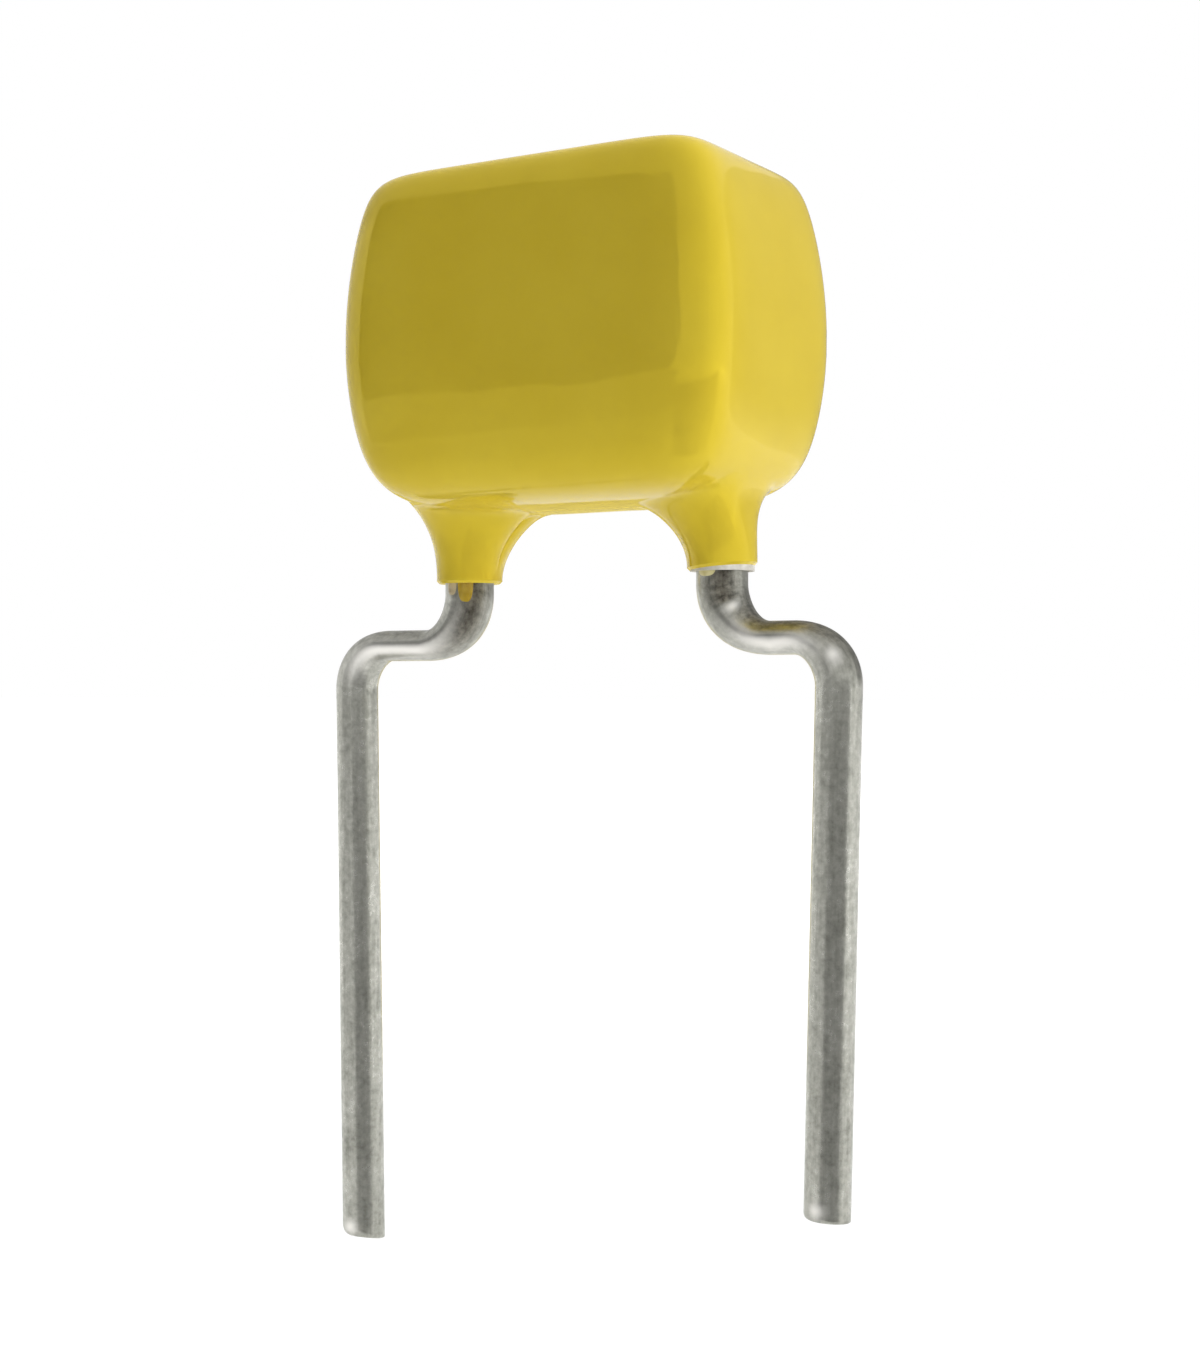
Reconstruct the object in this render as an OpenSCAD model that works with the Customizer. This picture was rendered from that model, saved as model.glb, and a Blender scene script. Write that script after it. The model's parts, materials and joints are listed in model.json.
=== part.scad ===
// Radial ceramic capacitor: a multilayer chip soldered between two formed wire leads, then dipped
// in epoxy that runs a little way down each lead.
// Sizes are in millimetres. The origin lies midway between the leads on the seating plane, which is
// the underside of the lead jogs. X runs along the lead pitch, the front faces -Y and Z points up.

/* [Chip] */
// Length of the chip over its end terminations
chip_l = 2.14; // [1.8:0.01:2.8]
// Height of the chip
chip_h = 2; // [1.6:0.05:2.6]
// Thickness of the chip from front to back
chip_d = 1.25; // [1:0.05:1.6]
// Thickness of the terminations on the chip's ends
term_t = 0.05; // [0.03:0.01:0.08]
// Width of the termination bands along the chip
term_band = 0.4; // [0.2:0.05:0.5]
// Number of plates in each of the two electrode combs
plate_count = 5; // [2:1:6]
// Thickness of an electrode plate
plate_t = 0.03; // [0.02:0.01:0.04]
// Bare ceramic left round the electrode plates
plate_margin = 0.2; // [0.1:0.05:0.3]

/* [Solder] */
// Thickness of the solder between a lead and its termination
solder_film = 0.03; // [0.02:0.01:0.06]
// Radius of the solder fillets along a lead
solder_fillet = 0.2; // [0.1:0.01:0.3]
// Thickness of the solder at the edges of its fillets
solder_edge = 0.015; // [0.01:0.005:0.03]
// Length of a soldered joint
solder_l = 1.6; // [1:0.05:1.9]

/* [Coat] */
// Epoxy over each lead at the ends of the block
end_coat = 0.44; // [0.35:0.005:0.7]
// Epoxy over the front and the back of the chip
face_coat = 0.55; // [0.4:0.01:0.8]
// Epoxy over the top and under the bottom of the chip
top_coat = 0.515; // [0.4:0.005:0.8]
// Shift of the chip towards the right lead inside the block
chip_shift = 0.075; // [-0.1:0.005:0.1]
// Shift of the block towards the right lead from the middle of the leads
coat_shift = 0.03; // [-0.1:0.01:0.1]
// Bulge of each end wall between its edges
end_bulge = 0.27; // [0.1:0.01:0.35]
// Bulge of the front and back faces above their middle
upper_bulge = 0.1; // [0:0.01:0.2]
// Bulge of the front and back faces below their middle
lower_bulge = 0.17; // [0:0.01:0.25]
// Squareness of the block seen from above, where 2 is an ellipse
plan_square = 8.5; // [6:0.5:12]
// Squareness of the block's top edges
top_square = 12; // [8:0.5:14]
// Squareness of the block's bottom edges
bottom_square = 8; // [6:0.5:12]

/* [Coat legs] */
// Epoxy round each lead at the end of its leg
leg_wall = 0.08; // [0.05:0.005:0.12]
// Bevel round the trimmed end of a leg
leg_bevel = 0.04; // [0.01:0.005:0.045]
// Slant of the left leg's trimmed end, in degrees, where its outer side is the higher one
left_trim = 0; // [-5:1:8]
// Slant of the right leg's trimmed end, in degrees, where its outer side is the higher one
right_trim = 5; // [-5:1:8]
// Height of the left leg from its trimmed end to the block's underside
leg_h = 0.62; // [0.5:0.01:0.9]
// Reach of a leg's flare along the underside towards the other leg
flare_in = 0.8; // [0.5:0.01:0.85]
// Reach of a leg's flare towards the front and the back
flare_side = 0.6; // [0.4:0.01:0.7]
// Height of a flare's outer edge above the underside
flare_up = 0.23; // [0.15:0.01:0.35]

/* [Leads] */
// Distance between the leads at the seating plane
pitch = 5.08; // [4.2:0.01:6.5]
// Diameter of the lead wire
lead_d = 0.4; // [0.3:0.01:0.5]
// Diameter of the wire above its jog, where solder has thickened it
exit_d = 0.45; // [0.34:0.01:0.55]
// Thickness of the wire where the forming tool pressed the jog
jog_t = 0.29; // [0.24:0.01:0.4]
// Width of the wire where the forming tool pressed the jog
jog_w = 0.46; // [0.4:0.01:0.56]
// Radius of the bend below each leg, at the middle of the wire
jog_bend = 0.47; // [0.3:0.01:0.6]
// Radius of the knee above each straight pin, at the middle of the wire
knee_bend = 0.41; // [0.25:0.01:0.5]
// Straight wire between the left leg and its bend
left_gap = 0.095; // [0.03:0.005:0.3]
// Straight wire between the right leg and its bend
right_gap = 0.135; // [0.03:0.005:0.4]
// Height of the right jog's underside above the seating plane
right_lift = 0.03; // [0:0.01:0.2]
// Lean of the left pin towards the right one, in degrees
left_toe = 0.9; // [0:0.1:3]
// Lean of the right pin towards the left one, in degrees
right_toe = 1.4; // [0:0.1:3]
// Length of the left pin below the seating plane
left_pin = 5.48; // [2:0.01:12]
// Length of the right pin below the seating plane
right_pin = 4.7; // [2:0.01:12]
// Rounding of the sheared wire ends
pin_chamfer = 0.03; // [0.01:0.01:0.1]

/* [Hidden] */
$fn = 64;

// Points round a ring of the coat, rings up a flare and rings from a flare to the middle plane
ring_n = 56;
flare_n = 8;
block_n = 26;
// How far the coat's points are drawn towards its rounded edges, where 1 is not at all
edge_spread = 0.55;
// Length of a flare's curve handles as a share of the flare's span
flare_arm = 0.4;
// Step on the block's skin that gives the slope at the flare's upper edge
slope_step = 0.02;
// Least distance from the disc's centre at which a direction is worked out
disc_min = 1e-9;
// Sides of the jog's section, steps in each of its bends, and how sharply the pressing fades out
jog_n = 24;
jog_steps = 9;
press_fade = 3;
// The jog's ends stand this far inside the round wire, and reach this far into it
jog_inset = 0.003;
jog_lap = 0.04;

lead_r = lead_d / 2;
exit_r = exit_d / 2;
leg_r = exit_r + leg_wall;
exit_pitch = chip_l + 2 * solder_film + exit_d;
chip_x = coat_shift + chip_shift;
left_exit = exit_pitch / 2 - chip_x;
right_exit = exit_pitch / 2 + chip_x;

left_bend_z = jog_t / 2 + jog_bend;
right_bend_z = left_bend_z + right_lift;
left_leg_z = left_bend_z + left_gap;
right_leg_z = right_bend_z + right_gap;

half_w = exit_pitch / 2 + exit_r + end_coat;
half_d = chip_d / 2 + face_coat;
half_h = chip_h / 2 + top_coat;
block_z = left_leg_z + leg_h + half_h;
lead_top = block_z + solder_l / 2;

ceramic = [chip_l - 2 * term_t, chip_d - 2 * term_t, chip_h - 2 * term_t];
plate_gap = (ceramic.y - 2 * plate_margin) / (2 * plate_count - 1);

// Length of a direction by the rounded-box rule: 1 on the skin of a block with half sizes of 1
function box_length(d) =
    let (square = d.z > 0 ? top_square : bottom_square)
    let (plan = pow(abs(d.x), plan_square) + pow(abs(d.y), plan_square))
    pow(pow(plan, square / plan_square) + pow(abs(d.z), square), 1 / square);

// Point of the block's skin in a direction, from the block's middle
function block_skin(d) =
    let (unit = d / box_length(d))
    let (edge = unit.z * unit.z)
    let (face_bulge = unit.z > 0 ? upper_bulge : lower_bulge)
    [unit.x * (half_w - end_bulge * edge), unit.y * (half_d - face_bulge * edge), unit.z * half_h];

// Each part of a direction raised to a power, with its sign kept
function spread(d, power) = [for (part = d) sign(part) * pow(abs(part), power)];

// Half of the block is laid out on a disc of radius 1, with the middle of the end wall at its
// centre and the block's middle plane on its rim. The spread draws rings closer at rounded edges.
function disc_of(d) =
    let (s = spread(d, 1 / edge_spread))
    let (off = norm([s.y, s.z]))
    [s.y, s.z] * atan2(off, s.x) / (90 * off);
function direction_of(spot) =
    let (off = max(norm(spot), disc_min))
    spread([cos(90 * off), sin(90 * off) * spot.x / off, sin(90 * off) * spot.y / off], edge_spread);

// Direction of a point of the block's underside
function under(x, y) = [x / (half_w - end_bulge), y / (half_d - lower_bulge), -1];

// Ring on the block's skin round a leg: t is 0 at the flare's upper edge and 1 at the middle plane
function block_ring(leg_x, t) =
    let (inner = disc_of(under(leg_x - flare_in, 0)).y)
    let (outer = disc_of([1, 0, flare_up / half_h - 1]).y)
    let (side = disc_of(under(leg_x, flare_side)).x)
    let (middle = (inner + outer) / 2 * (1 - t))
    let (reach_y = side * (1 - t) + t)
    let (reach_z = (outer - inner) / 2 * (1 - t) + t)
    [for (i = [0 : ring_n - 1])
        let (a = 360 * i / ring_n)
        block_skin(direction_of([reach_y * cos(a), middle + reach_z * sin(a)]))];

// Point at s on the cubic curve with these four control points
function curve(p, s) =
    pow(1 - s, 3) * p[0] + 3 * s * pow(1 - s, 2) * p[1] + 3 * s * s * (1 - s) * p[2] + pow(s, 3) * p[3];

// Ring round a leg at a radius and a height, slanted by the leg's trim
function leg_ring(leg_x, r, z, trim) =
    [for (i = [0 : ring_n - 1])
        let (a = 360 * i / ring_n)
        [leg_x + r * sin(a), r * cos(a), z - block_z + r * sin(a) * tan(trim)]];

// Rings up a leg, from its trimmed end to the block's skin, which they meet at the skin's own slope
function flare_rings(leg_x, leg_z, trim) =
    let (foot = leg_ring(leg_x, leg_r, leg_z + leg_bevel, trim))
    let (edge = block_ring(leg_x, 0))
    let (next = block_ring(leg_x, slope_step))
    [for (k = [0 : flare_n])
        [for (i = [0 : ring_n - 1])
            let (arm = flare_arm * norm(edge[i] - foot[i]))
            let (slope = (edge[i] - next[i]) / norm(edge[i] - next[i]))
            curve([foot[i], foot[i] + [0, 0, arm], edge[i] + arm * slope, edge[i]], k / flare_n)]];

// Rings of one half of the coat, from the end of its leg to the middle plane
function half_rings(leg_x, leg_z, trim) =
    concat(
        [leg_ring(leg_x, leg_r - leg_bevel, leg_z, trim)],
        flare_rings(leg_x, leg_z, trim),
        [for (k = [1 : block_n]) block_ring(leg_x, k / block_n)]
    );

// The whole skin is one tube of rings: up the right leg, over the block and down the left leg
module coat_skin() {
    right = half_rings(exit_pitch / 2 + chip_shift, right_leg_z, right_trim);
    left = half_rings(exit_pitch / 2 - chip_shift, left_leg_z, left_trim);
    rings = concat(right, [for (k = [len(left) - 2 : -1 : 0]) [for (p = left[k]) [-p.x, p.y, p.z]]]);
    last = len(rings) - 1;
    polyhedron(
        points = [for (ring = rings) each ring],
        faces = concat(
            [[for (i = [ring_n - 1 : -1 : 0]) i]],
            [for (k = [0 : last - 1], i = [0 : ring_n - 1])
                let (j = (i + 1) % ring_n)
                each [[k * ring_n + i, k * ring_n + j, (k + 1) * ring_n + i],
                    [k * ring_n + j, (k + 1) * ring_n + j, (k + 1) * ring_n + i]]],
            [[for (i = [0 : ring_n - 1]) last * ring_n + i]]
        ),
        convexity = 8
    );
}

// Box centred on the chip
module chip_box(size) {
    translate([chip_x, 0, block_z])
        cube(size, center = true);
}

// Outer box of a termination, at the chip's right end for side 1 and at its left end for side -1
module term_box(side) {
    translate([side * (chip_l - term_band) / 2, 0, 0])
        chip_box([term_band, chip_d, chip_h]);
}

// Electrode comb that reaches one end of the ceramic and stops a margin short of the other
module comb(side) {
    size = [ceramic.x - plate_margin, plate_t, ceramic.z - 2 * plate_margin];
    first = side > 0 ? 0 : 1;
    for (k = [first : 2 : 2 * plate_count - 1])
        translate([side * plate_margin / 2, k * plate_gap + plate_margin - ceramic.y / 2, 0])
            chip_box(size);
}

// Solder between the right termination and its lead, with a hollow fillet along each side
module solder() {
    lead_x = exit_r + solder_film;
    fillet_x = solder_fillet + solder_edge;
    reach = exit_r + solder_fillet + solder_edge;
    fillet_y = sqrt(reach * reach - pow(lead_x - fillet_x, 2));
    share = (exit_r + 2 * solder_edge) / reach;
    tip = [lead_x + (fillet_x - lead_x) * share, fillet_y * share];
    translate([chip_l / 2, 0, block_z - solder_l / 2])
        difference() {
            linear_extrude(solder_l)
                polygon([[0, -fillet_y], [tip.x, -tip.y], tip, [0, fillet_y]]);
            for (y = [-fillet_y, fillet_y])
                translate([fillet_x, y, -solder_l / 2])
                    cylinder(r = solder_fillet, h = 2 * solder_l);
            translate([lead_x, 0, -solder_l / 2])
                cylinder(r = exit_r, h = 2 * solder_l);
        }
}

// Solder at the chip's right end for side 1 and at its left end for side -1
module solder_at(side) {
    translate([chip_x, 0, 0])
        mirror([side > 0 ? 0 : 1, 0, 0])
            solder();
}

// Straight upper wire of a lead, at x = exit, from the solder down to the start of the bend
module upper_wire(exit, bend_z) {
    translate([exit, 0, bend_z])
        cylinder(r = exit_r, h = lead_top - bend_z);
}

// Ring of the jog at a point of its middle line, where a wire of radius r has turned by an angle
// from straight down and is pressed the flatter the further it has turned
function jog_ring(x, z, turn, r) =
    let (pressed = pow(abs(sin(turn)), press_fade))
    let (thick = r - jog_inset + (jog_t / 2 - r) * pressed)
    let (wide = r - jog_inset + (jog_w / 2 - r) * pressed)
    [for (i = [0 : jog_n - 1])
        let (a = 360 * i / jog_n)
        [x + thick * cos(a) * cos(turn), wide * sin(a), z + thick * cos(a) * sin(turn)]];

// Tube through rings of the jog, closed at both ends
module jog_tube(rings) {
    last = len(rings) - 1;
    polyhedron(
        points = [for (ring = rings) each ring],
        faces = concat(
            [[for (i = [jog_n - 1 : -1 : 0]) i]],
            [for (k = [0 : last - 1], i = [0 : jog_n - 1])
                let (j = (i + 1) % jog_n)
                each [[k * jog_n + i, k * jog_n + j, (k + 1) * jog_n + i],
                    [k * jog_n + j, (k + 1) * jog_n + j, (k + 1) * jog_n + i]]],
            [[for (i = [0 : jog_n - 1]) last * jog_n + i]]
        ),
        convexity = 4
    );
}

// Lead on the right of the middle: upper wire, jog, and a pin that leans in by toe. The jog turns
// outwards by a right angle and runs level to the knee, or turns less where the pin stands too close.
module lead(exit, bend_z, toe, pin) {
    bends = jog_bend + knee_bend;
    room = (pitch / 2 - exit - jog_bend) * cos(toe) + bend_z * sin(toe) - knee_bend;
    out = min(90, acos(max(-1, -room / bends)) - toe);
    run = (room + bends * cos(out + toe)) / sin(out + toe);
    bent = [exit + jog_bend * (1 - cos(out)), bend_z - jog_bend * sin(out)];
    knee = bent + run * [sin(out), -cos(out)] - knee_bend * [cos(out), sin(out)];
    end = knee + knee_bend * [cos(toe), -sin(toe)];
    lap = jog_lap * [-sin(toe), -cos(toe)];
    // Without a level run the bend's last ring is also the knee's first
    knee_first = run > jog_inset ? 0 : 1;
    union() {
        upper_wire(exit, bend_z);
        jog_tube(concat(
            [jog_ring(exit, bend_z + jog_lap, 0, exit_r)],
            [for (k = [0 : jog_steps])
                let (turn = out * k / jog_steps)
                jog_ring(exit + jog_bend * (1 - cos(turn)), bend_z - jog_bend * sin(turn), turn, exit_r)],
            [for (k = [knee_first : jog_steps])
                let (turn = out - (out + toe) * k / jog_steps)
                jog_ring(knee.x + knee_bend * cos(turn), knee.y + knee_bend * sin(turn), turn, lead_r)],
            [jog_ring(end.x + lap.x, end.y + lap.y, -toe, lead_r)]
        ));
        translate([pitch / 2, 0, 0])
            rotate([0, toe, 0]) {
                translate([0, 0, pin_chamfer - pin])
                    cylinder(r = lead_r, h = end.y / cos(toe) + pin - pin_chamfer);
                translate([0, 0, -pin])
                    cylinder(r1 = lead_r - pin_chamfer, r2 = lead_r, h = pin_chamfer);
            }
    }
}

module epoxy_coat() {
    color("#d9c02f")
        difference() {
            translate([coat_shift, 0, block_z])
                coat_skin();
            chip_box(ceramic);
            for (side = [-1, 1]) {
                term_box(side);
                solder_at(side);
            }
            upper_wire(right_exit, right_bend_z);
            mirror([1, 0, 0])
                upper_wire(left_exit, left_bend_z);
        }
}

module ceramic_block() {
    color("#a58a68")
        difference() {
            chip_box(ceramic);
            comb(-1);
            comb(1);
        }
}

module left_electrodes() {
    color("#8d8f90")
        comb(-1);
}

module right_electrodes() {
    color("#8d8f90")
        comb(1);
}

module left_termination() {
    color("#b4b6b5")
        difference() {
            term_box(-1);
            chip_box(ceramic);
        }
}

module right_termination() {
    color("#b4b6b5")
        difference() {
            term_box(1);
            chip_box(ceramic);
        }
}

module left_solder() {
    color("#9fa2a3")
        solder_at(-1);
}

module right_solder() {
    color("#9fa2a3")
        solder_at(1);
}

module left_lead() {
    color("#b9bab3")
        mirror([1, 0, 0])
            lead(left_exit, left_bend_z, left_toe, left_pin);
}

module right_lead() {
    color("#b9bab3")
        lead(right_exit, right_bend_z, right_toe, right_pin);
}

epoxy_coat();
ceramic_block();
left_electrodes();
right_electrodes();
left_termination();
right_termination();
left_solder();
right_solder();
left_lead();
right_lead();
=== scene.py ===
# %% [markdown]
# # A radial ceramic capacitor
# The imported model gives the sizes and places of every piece. It is made of flat facets, so the pieces
# that the eye meets are made again here as fine smooth surfaces, worked out with numpy from the same
# shapes. The inner pieces stay as they are and only get a finish.

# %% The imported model
import json

import bpy
import numpy as np
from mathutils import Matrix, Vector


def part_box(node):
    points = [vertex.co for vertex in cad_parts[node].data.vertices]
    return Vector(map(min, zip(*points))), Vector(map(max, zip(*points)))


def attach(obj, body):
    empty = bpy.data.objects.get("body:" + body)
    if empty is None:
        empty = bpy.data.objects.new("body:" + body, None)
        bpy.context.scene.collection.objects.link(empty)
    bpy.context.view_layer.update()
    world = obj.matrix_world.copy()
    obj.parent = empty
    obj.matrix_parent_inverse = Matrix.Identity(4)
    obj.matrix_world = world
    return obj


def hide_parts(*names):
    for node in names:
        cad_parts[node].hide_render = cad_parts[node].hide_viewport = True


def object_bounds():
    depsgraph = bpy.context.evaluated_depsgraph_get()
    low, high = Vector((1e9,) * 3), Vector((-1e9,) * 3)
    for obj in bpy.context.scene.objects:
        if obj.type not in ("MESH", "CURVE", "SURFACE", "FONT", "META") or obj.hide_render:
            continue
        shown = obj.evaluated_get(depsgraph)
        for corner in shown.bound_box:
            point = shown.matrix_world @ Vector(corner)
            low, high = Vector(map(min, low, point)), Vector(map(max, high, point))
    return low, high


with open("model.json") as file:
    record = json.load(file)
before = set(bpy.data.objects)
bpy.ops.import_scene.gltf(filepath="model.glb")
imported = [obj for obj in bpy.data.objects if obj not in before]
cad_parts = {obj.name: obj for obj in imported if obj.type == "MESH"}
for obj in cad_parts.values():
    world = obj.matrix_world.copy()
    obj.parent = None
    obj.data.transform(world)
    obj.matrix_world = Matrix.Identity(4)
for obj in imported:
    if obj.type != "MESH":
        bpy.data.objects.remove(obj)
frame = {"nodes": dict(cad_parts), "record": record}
cad_low, cad_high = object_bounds()
MM = 0.001
print("CAD box in mm:", [round(v / MM, 3) for v in (*cad_low, *cad_high)])

# %% [markdown]
# ## Camera
# The photo looks level at the part from its right front, from close by, so the right wire looks
# thicker than the left one. Its distance and lens were found by fitting the outline. The image is
# 1200 by 1372 pixels, and the sensor's 36 mm lie along the taller side.

# %% Camera
IMAGE_TALL = 1372
SENSOR_MM = 36.0
FOCAL_PIXELS = 2092.7
CAMERA_AZIMUTH = np.radians(31.243)
CAMERA_DISTANCE = 18.799
CAMERA_TARGET = np.array([0.1513, 0.0736, -0.2362])
CLIP_NEAR, CLIP_FAR = 1.0, 4000.0

to_camera = np.array([np.sin(CAMERA_AZIMUTH), -np.cos(CAMERA_AZIMUTH), 0.0])
camera_data = bpy.data.cameras.new("camera")
camera_data.sensor_width = SENSOR_MM
camera_data.lens = SENSOR_MM * FOCAL_PIXELS / IMAGE_TALL
camera_data.clip_start = CLIP_NEAR * MM
camera_data.clip_end = CLIP_FAR * MM
camera = bpy.data.objects.new("camera", camera_data)
camera.location = (CAMERA_TARGET + CAMERA_DISTANCE * to_camera) * MM
camera.rotation_euler = (np.pi / 2, 0, CAMERA_AZIMUTH)
bpy.context.scene.collection.objects.link(camera)
bpy.context.scene.camera = camera
print("lens", round(camera_data.lens, 2), "mm")

# %% [markdown]
# ## Sizes
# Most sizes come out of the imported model: the coat's box gives the block's half sizes, the ceramic's
# box its middle, and the pin mounts give the pitch, the lean and the thickness of the wires. What no
# box can tell, such as a bulge or a bend's radius, is written in millimetres where it is first used.

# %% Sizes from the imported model
# Radius of the wire with the solder on it, and the solder between the wire and the chip's end cap.
EXIT_R = 0.225
SOLDER_FILM = 0.03


def node_box(name):
    """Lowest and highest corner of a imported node, in millimetres."""
    return [np.array(corner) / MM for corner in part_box(name)]


coat_low, coat_high = node_box("epoxy_coat")
chip_low, chip_high = node_box("ceramic_block")
cap_low = node_box("left_termination")[0]
cap_high = node_box("right_termination")[1]
pins = {m["name"]: m for m in frame["record"]["mounts"] if m["kind"] == "pin"}

PIN_R = pins["left_pin"]["dims"]["r_mm"]
block_mid = np.array([(coat_low[0] + coat_high[0]) / 2, 0, (chip_low[2] + chip_high[2]) / 2])
half_w = (coat_high[0] - coat_low[0]) / 2
half_d = coat_high[1]
half_h = coat_high[2] - block_mid[2]
exit_x = {"left": cap_low[0] - SOLDER_FILM - EXIT_R, "right": cap_high[0] + SOLDER_FILM + EXIT_R}
wire_top = node_box("left_lead")[1][2]
print("block half sizes", np.round([half_w, half_d, half_h], 3))
print("wires leave at x", np.round(list(exit_x.values()), 3))

# %% [markdown]
# ## Helpers for meshes
# Every new piece is a tube of rings, closed by one point at each end. A numpy array of shape
# (rings, points, 3) holds it, so a whole surface is worked out at once and handed to the mesh in
# a few calls.

# %% Tube of rings to mesh
def tube_faces(rings, points):
    """Quads between neighbouring rings and two fans of triangles that end in one point each."""
    k, i = np.meshgrid(np.arange(rings - 1), np.arange(points), indexing="ij")
    j = (i + 1) % points
    quads = np.stack([k * points + i, k * points + j, (k + 1) * points + j, (k + 1) * points + i], -1)
    i = np.arange(points)
    j = (i + 1) % points
    last = (rings - 1) * points
    first_fan = np.stack([np.full(points, rings * points), j, i], -1)
    last_fan = np.stack([np.full(points, rings * points + 1), last + i, last + j], -1)
    return quads.reshape(-1, 4), np.concatenate([first_fan, last_fan])


def make_tube(name, rings, sharp_deg):
    """Object from an array of rings in millimetres, closed at both ends, smooth below an edge angle."""
    count, points = rings.shape[:2]
    ends = np.stack([rings[0].mean(0), rings[-1].mean(0)])
    vertices = np.concatenate([rings.reshape(-1, 3), ends]) * MM
    quads, fans = tube_faces(count, points)
    corners = np.concatenate([quads.ravel(), fans.ravel()])
    starts = np.concatenate([4 * np.arange(len(quads)), 4 * len(quads) + 3 * np.arange(len(fans))])
    mesh = bpy.data.meshes.new(name)
    mesh.vertices.add(len(vertices))
    mesh.vertices.foreach_set("co", vertices.astype(np.float32).ravel())
    mesh.loops.add(len(corners))
    mesh.loops.foreach_set("vertex_index", corners.astype(np.int32))
    mesh.polygons.add(len(starts))
    mesh.polygons.foreach_set("loop_start", starts.astype(np.int32))
    mesh.update(calc_edges=True)
    mesh.validate()
    mesh.shade_smooth()
    mesh.set_sharp_from_angle(angle=np.radians(sharp_deg))
    piece = bpy.data.objects.new(name, mesh)
    bpy.context.scene.collection.objects.link(piece)
    print(name, "has", 2 * len(quads) + len(fans), "triangles")
    return piece


# %% [markdown]
# ## Helpers for finishes
# Colours are written as sRGB hex values, as an eye-dropper gives them, and turned to the linear
# values that shaders work in. One function adds a node with its settings and links. A pattern's
# scale is given as the size of its features in millimetres.

# %% Node helpers
def linear(hex_colour):
    """Linear RGBA of an sRGB hex colour such as #D9C02F.

    The sRGB curve is a straight line near black and a power of 2.4 above it.
    """
    srgb = np.array([int(hex_colour[k:k + 2], 16) for k in (1, 3, 5)]) / 255
    rgb = np.where(srgb <= 0.04045, srgb / 12.92, ((srgb + 0.055) / 1.055) ** 2.4)
    return (*rgb.tolist(), 1.0)


def of_mm(size_mm):
    """Texture scale for features of this size: how many of them fit in a metre."""
    return 1 / (size_mm * MM)


def add(tree, kind, settings=None, stops=(), **inputs):
    """Adds a node, sets its properties and a ramp's (position, hex) stops, and sets or links its inputs.

    An input is named with underscores for spaces, or by its number as in_0.
    """
    made = tree.nodes.new(kind)
    for key, value in (settings or {}).items():
        setattr(made, key, value)
    for k, (position, colour) in enumerate(stops):
        ramp = made.color_ramp.elements
        stop = ramp[k] if k < len(ramp) else ramp.new(position)
        stop.position, stop.color = position, linear(colour)
    for key, value in inputs.items():
        socket = made.inputs[int(key[3:])] if key.startswith("in_") else made.inputs[key.replace("_", " ")]
        if isinstance(value, bpy.types.NodeSocket):
            tree.links.new(value, socket)
        else:
            socket.default_value = value
    return made


def new_material(name):
    """Empty node material, with its tree."""
    material = bpy.data.materials.new(name)
    material.use_nodes = True
    material.node_tree.nodes.clear()
    return material, material.node_tree


# %% [markdown]
# ## Dipped epoxy
# The chip and its wires are dipped in powdered or liquid epoxy, which melts, pulls itself smooth and
# sets as a thick glossy skin. To the eye it is a deep even yellow with mirror-like edges of light,
# which wander a little because the skin is never quite flat. A clear coat over a yellow base would
# give it white reflections all over. But the pigment tints them too, so the one layer has a yellow
# specular tint: the gloss stays golden where one looks straight at it and turns white only at a
# glancing angle.

# %% Dipped epoxy
def dipped_epoxy():
    """Glossy yellow epoxy with faint clouds of pigment and a slightly wavy skin."""
    material, tree = new_material("dipped_epoxy")
    place = add(tree, "ShaderNodeTexCoord").outputs["Object"]
    clouds = add(tree, "ShaderNodeTexNoise", Vector=place, Scale=of_mm(0.9), Detail=3.0, Roughness=0.5)
    colour = add(tree, "ShaderNodeValToRGB", stops=[(0.3, "#DDC238"), (0.7, "#E2C83E")],
                 Fac=clouds.outputs["Fac"])
    waves = add(tree, "ShaderNodeTexNoise", Vector=place, Scale=of_mm(0.7), Detail=1.0)
    wavy = add(tree, "ShaderNodeBump", Height=waves.outputs["Fac"], Strength=0.05, Distance=0.2 * MM)
    shine = add(tree, "ShaderNodeMapRange", Value=clouds.outputs["Fac"], To_Min=0.03, To_Max=0.055)
    shader = add(tree, "ShaderNodeBsdfPrincipled", Base_Color=colour.outputs["Color"],
                 Roughness=shine.outputs["Result"], Normal=wavy.outputs["Normal"], IOR=1.55,
                 Specular_IOR_Level=0.9, Specular_Tint=linear("#FFE63C"))
    add(tree, "ShaderNodeOutputMaterial", Surface=shader.outputs["BSDF"])
    return material


epoxy = dipped_epoxy()
print("made", epoxy.name)

# %% [markdown]
# ## Trimmed epoxy
# Where a leg was trimmed, the broken resin scatters light and looks pale and dull. It could be a piece
# of its own, but it is the same body as the coat, so a few of the coat's faces get this finish.

# %% Trimmed epoxy
def trimmed_epoxy():
    """Pale, dull resin with a fine grain of broken edges."""
    material, tree = new_material("trimmed_epoxy")
    place = add(tree, "ShaderNodeTexCoord").outputs["Object"]
    grain = add(tree, "ShaderNodeTexNoise", Vector=place, Scale=of_mm(0.06), Detail=4.0)
    colour = add(tree, "ShaderNodeValToRGB", stops=[(0.3, "#C8C4B8"), (0.7, "#E6E3DB")],
                 Fac=grain.outputs["Fac"])
    rough = add(tree, "ShaderNodeBump", Height=grain.outputs["Fac"], Strength=0.4, Distance=0.01 * MM)
    shader = add(tree, "ShaderNodeBsdfPrincipled", Base_Color=colour.outputs["Color"], Roughness=0.55,
                 Normal=rough.outputs["Normal"], IOR=1.55)
    add(tree, "ShaderNodeOutputMaterial", Surface=shader.outputs["BSDF"])
    return material


trimmed = trimmed_epoxy()
print("made", trimmed.name)

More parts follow.
